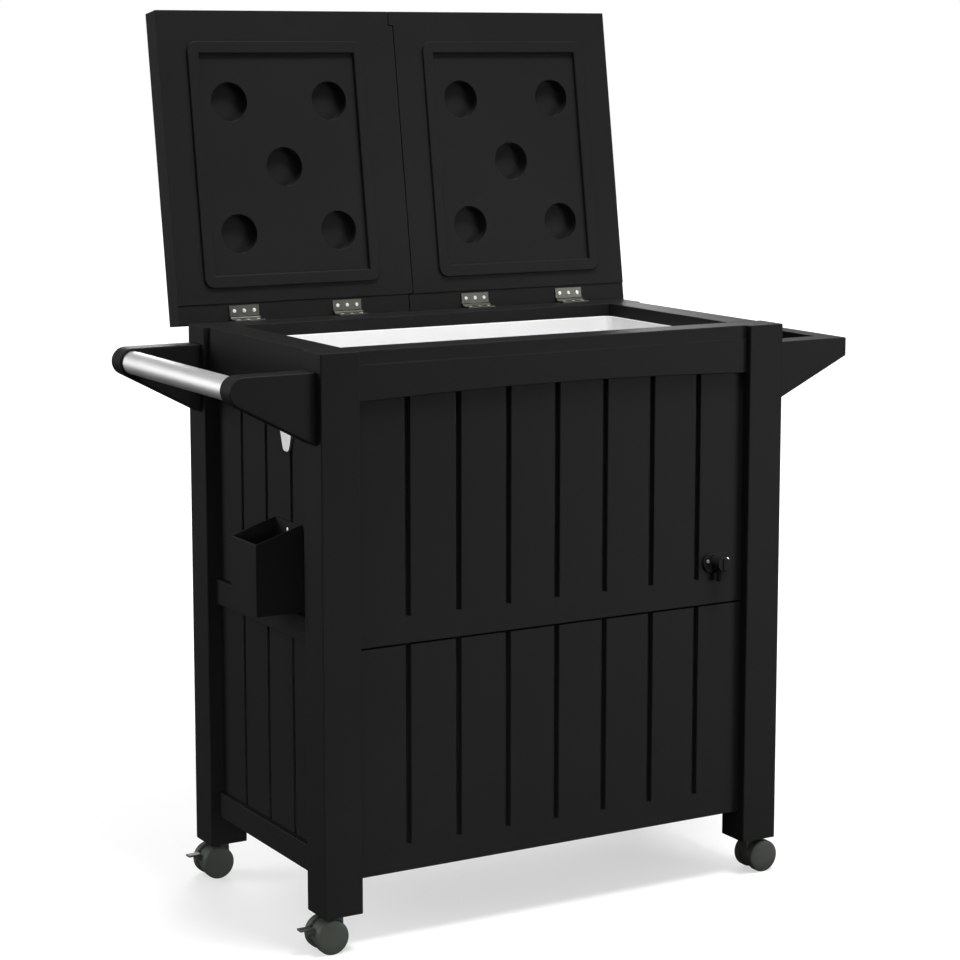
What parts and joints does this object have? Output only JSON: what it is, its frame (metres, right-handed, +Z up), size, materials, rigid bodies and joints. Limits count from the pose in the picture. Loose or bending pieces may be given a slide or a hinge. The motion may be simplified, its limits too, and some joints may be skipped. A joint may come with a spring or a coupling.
{
  "type": "serving cart",
  "caption": "Slatted drinks-cooler serving cart on swivel castors, with an open tub under hinged lids, a push handle, side shelf, drain tap, bottle opener and cap catcher.",
  "frame": {"origin": "on the floor, under the middle of the cart's overall box with its lids open", "axes": "+Z up, +X from the handle towards the side shelf, -Y out of the front panels"},
  "size_m": [1, 0.5544, 1.2763],
  "materials": {
    "black_plastic": "satin moulded black",
    "white_plastic": "smooth moulded white",
    "bright_steel": "bright stamped steel",
    "brushed_tube": "brushed round tube",
    "polished_zinc": "polished casting",
    "grey_tread": "grey castor tread",
    "grey_plastic": "grey castor housing",
    "seal_rubber": "soft black"
  },
  "bodies": {
    "cabinet": {"post_front_left": "black_plastic", "post_front_right": "black_plastic", "post_back_left": "black_plastic", "post_back_right": "black_plastic", "castor_sockets": "black_plastic", "front_header": "black_plastic", "back_rail": "black_plastic", "left_rail": "black_plastic", "right_rail": "black_plastic", "front_upper_panel": "black_plastic", "front_lower_panel": "black_plastic", "back_upper_panel": "black_plastic", "back_lower_panel": "black_plastic", "left_upper_panel": "black_plastic", "left_lower_panel": "black_plastic", "right_upper_panel": "black_plastic", "right_lower_panel": "black_plastic", "mid_deck": "black_plastic", "bottom_deck": "black_plastic", "cooler_tub": "white_plastic", "rail_hinge_leaves": "bright_steel", "hinge_pins": "bright_steel", "rail_hinge_screws": "bright_steel", "handle_arm_front": "black_plastic", "handle_arm_back": "black_plastic", "handle_tube": "brushed_tube", "side_shelf": "black_plastic", "bottle_opener": "polished_zinc", "cap_catcher": "black_plastic", "fitting_screws": "bright_steel", "tap_body": "black_plastic", "tap_gasket": "seal_rubber", "tap_nut": "black_plastic"},
    "lid_left": {"lid_left_shell": "black_plastic", "lid_left_panel": "black_plastic", "lid_left_hinge_leaves": "bright_steel", "lid_left_hinge_screws": "bright_steel"},
    "lid_right": {"lid_right_shell": "black_plastic", "lid_right_panel": "black_plastic", "lid_right_hinge_leaves": "bright_steel", "lid_right_hinge_screws": "bright_steel"},
    "castor_front_left": {"castor_front_left_hood": "grey_plastic", "castor_front_left_stem": "bright_steel", "castor_front_left_axle": "bright_steel"},
    "wheels_front_left": {"castor_front_left_wheels": "grey_tread"},
    "brake_front_left": {"castor_front_left_brake_pedal": "grey_plastic"},
    "castor_front_right": {"castor_front_right_hood": "grey_plastic", "castor_front_right_stem": "bright_steel", "castor_front_right_axle": "bright_steel"},
    "wheels_front_right": {"castor_front_right_wheels": "grey_tread"},
    "castor_back_left": {"castor_back_left_hood": "grey_plastic", "castor_back_left_stem": "bright_steel", "castor_back_left_axle": "bright_steel"},
    "wheels_back_left": {"castor_back_left_wheels": "grey_tread"},
    "brake_back_left": {"castor_back_left_brake_pedal": "grey_plastic"},
    "castor_back_right": {"castor_back_right_hood": "grey_plastic", "castor_back_right_stem": "bright_steel", "castor_back_right_axle": "bright_steel"},
    "wheels_back_right": {"castor_back_right_wheels": "grey_tread"},
    "tap_knob": {"tap_knob": "black_plastic"}
  },
  "joints": [
    {"name": "lid_left_hinge", "type": "hinge", "parent": "cabinet", "child": "lid_left", "pos_m": [0, 0.16814, 0.8275], "axis": [1, 0, 0], "range_deg": [0, 98.85]},
    {"name": "lid_right_hinge", "type": "hinge", "parent": "cabinet", "child": "lid_right", "pos_m": [0, 0.16814, 0.8275], "axis": [1, 0, 0], "range_deg": [0, 98.85]},
    {"name": "castor_front_left_swivel", "type": "hinge", "parent": "cabinet", "child": "castor_front_left", "pos_m": [-0.346, -0.24116, 0.049], "axis": [0, 0, 1], "continuous": true},
    {"name": "castor_front_left_roll", "type": "hinge", "parent": "castor_front_left", "child": "wheels_front_left", "pos_m": [-0.36, -0.24116, 0.024], "axis": [0, 1, 0], "continuous": true},
    {"name": "castor_front_left_brake", "type": "hinge", "parent": "castor_front_left", "child": "brake_front_left", "pos_m": [-0.386, -0.24116, 0.03], "axis": [0, -1, 0], "range_deg": [0, 12]},
    {"name": "castor_front_right_swivel", "type": "hinge", "parent": "cabinet", "child": "castor_front_right", "pos_m": [0.346, -0.24116, 0.049], "axis": [0, 0, 1], "continuous": true},
    {"name": "castor_front_right_roll", "type": "hinge", "parent": "castor_front_right", "child": "wheels_front_right", "pos_m": [0.36, -0.24116, 0.024], "axis": [0, 1, 0], "continuous": true},
    {"name": "castor_back_left_swivel", "type": "hinge", "parent": "cabinet", "child": "castor_back_left", "pos_m": [-0.346, 0.13484, 0.049], "axis": [0, 0, 1], "continuous": true},
    {"name": "castor_back_left_roll", "type": "hinge", "parent": "castor_back_left", "child": "wheels_back_left", "pos_m": [-0.36, 0.13484, 0.024], "axis": [0, 1, 0], "continuous": true},
    {"name": "castor_back_left_brake", "type": "hinge", "parent": "castor_back_left", "child": "brake_back_left", "pos_m": [-0.386, 0.13484, 0.03], "axis": [0, -1, 0], "range_deg": [0, 12]},
    {"name": "castor_back_right_swivel", "type": "hinge", "parent": "cabinet", "child": "castor_back_right", "pos_m": [0.346, 0.13484, 0.049], "axis": [0, 0, 1], "continuous": true},
    {"name": "castor_back_right_roll", "type": "hinge", "parent": "castor_back_right", "child": "wheels_back_right", "pos_m": [0.36, 0.13484, 0.024], "axis": [0, 1, 0], "continuous": true},
    {"name": "tap_turn", "type": "hinge", "parent": "cabinet", "child": "tap_knob", "pos_m": [0.272, -0.27016, 0.48], "axis": [0, -1, 0], "range_deg": [0, 90]}
  ]
}
